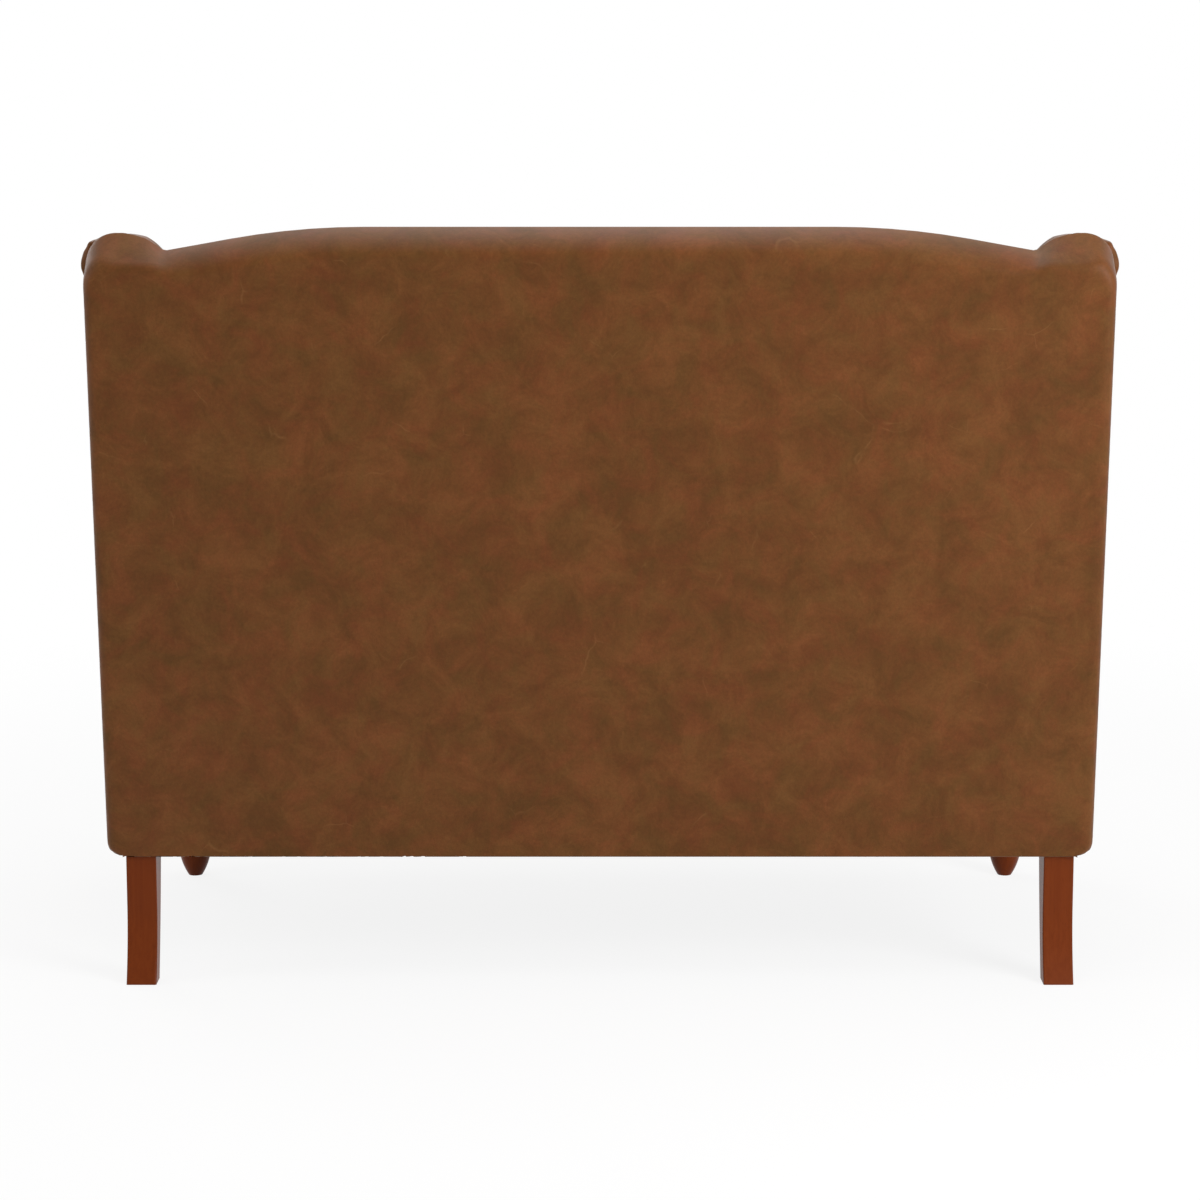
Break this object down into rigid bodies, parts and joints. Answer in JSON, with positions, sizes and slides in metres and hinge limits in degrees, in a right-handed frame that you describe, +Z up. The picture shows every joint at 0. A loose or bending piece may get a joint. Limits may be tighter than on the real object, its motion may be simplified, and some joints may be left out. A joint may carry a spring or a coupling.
{
  "type": "two-seater wingback sofa",
  "caption": "Wingback settee for two with a crowned back, rolled wings and arms, loose seat cushions, curved rear legs and turned front legs.",
  "frame": {"origin": "middle of the footprint, on the floor", "axes": "+X to the sitter's left, +Y from the seat towards the back, +Z up; the seat faces -Y"},
  "size_m": [1.332, 0.735, 1.0084],
  "materials": {
    "hide": "satin, mottled brown",
    "leg_wood": "reddish stain, satin lacquer",
    "frame_wood": "planed, bare",
    "frame_ply": "sawn plywood",
    "foam": "open foam",
    "padding": "felted",
    "webbing": "woven strap",
    "dust_cloth": "black cloth",
    "spring_steel": "oiled wire",
    "plated_steel": "zinc plated"
  },
  "bodies": {
    "settee": {"arm_facing_left": "hide", "arm_facing_right": "hide", "arm_left": "hide", "arm_rail_left": "frame_wood", "arm_rail_right": "frame_wood", "arm_right": "hide", "arm_stump_left": "frame_wood", "arm_stump_right": "frame_wood", "back_lumbar_rail": "frame_wood", "back_post_left": "frame_wood", "back_post_right": "frame_wood", "back_strut": "frame_wood", "back_top_rail": "frame_wood", "back_webbing": "webbing", "deck_pad": "padding", "dust_cover": "dust_cloth", "frame_dowels": "frame_wood", "front_border": "hide", "front_leg_left": "leg_wood", "front_leg_right": "leg_wood", "front_rail": "frame_wood", "inside_back": "hide", "inside_back_foam": "foam", "leg_blocks": "frame_wood", "leg_bolts": "plated_steel", "leg_inserts": "plated_steel", "outside_back": "hide", "outside_back_wadding": "padding", "outside_panel_left": "hide", "outside_panel_right": "hide", "rear_leg_left": "leg_wood", "rear_leg_right": "leg_wood", "rear_seat_rail": "frame_wood", "seat_brace": "frame_wood", "seat_springs": "spring_steel", "side_rail_left": "frame_wood", "side_rail_right": "frame_wood", "spring_clips": "spring_steel", "spring_insulator": "padding", "wing_board_left": "frame_ply", "wing_board_right": "frame_ply", "wing_left": "hide", "wing_right": "hide"},
    "left_cushion": {"seat_cushion_left": "hide", "seat_foam_left": "foam"},
    "right_cushion": {"seat_cushion_right": "hide", "seat_foam_right": "foam"}
  },
  "joints": [
    {"name": "left_cushion_lift", "type": "slide", "parent": "settee", "child": "left_cushion", "axis": [0, 0, 1], "range_m": [0, 0.3]},
    {"name": "right_cushion_lift", "type": "slide", "parent": "settee", "child": "right_cushion", "axis": [0, 0, 1], "range_m": [0, 0.3]}
  ]
}
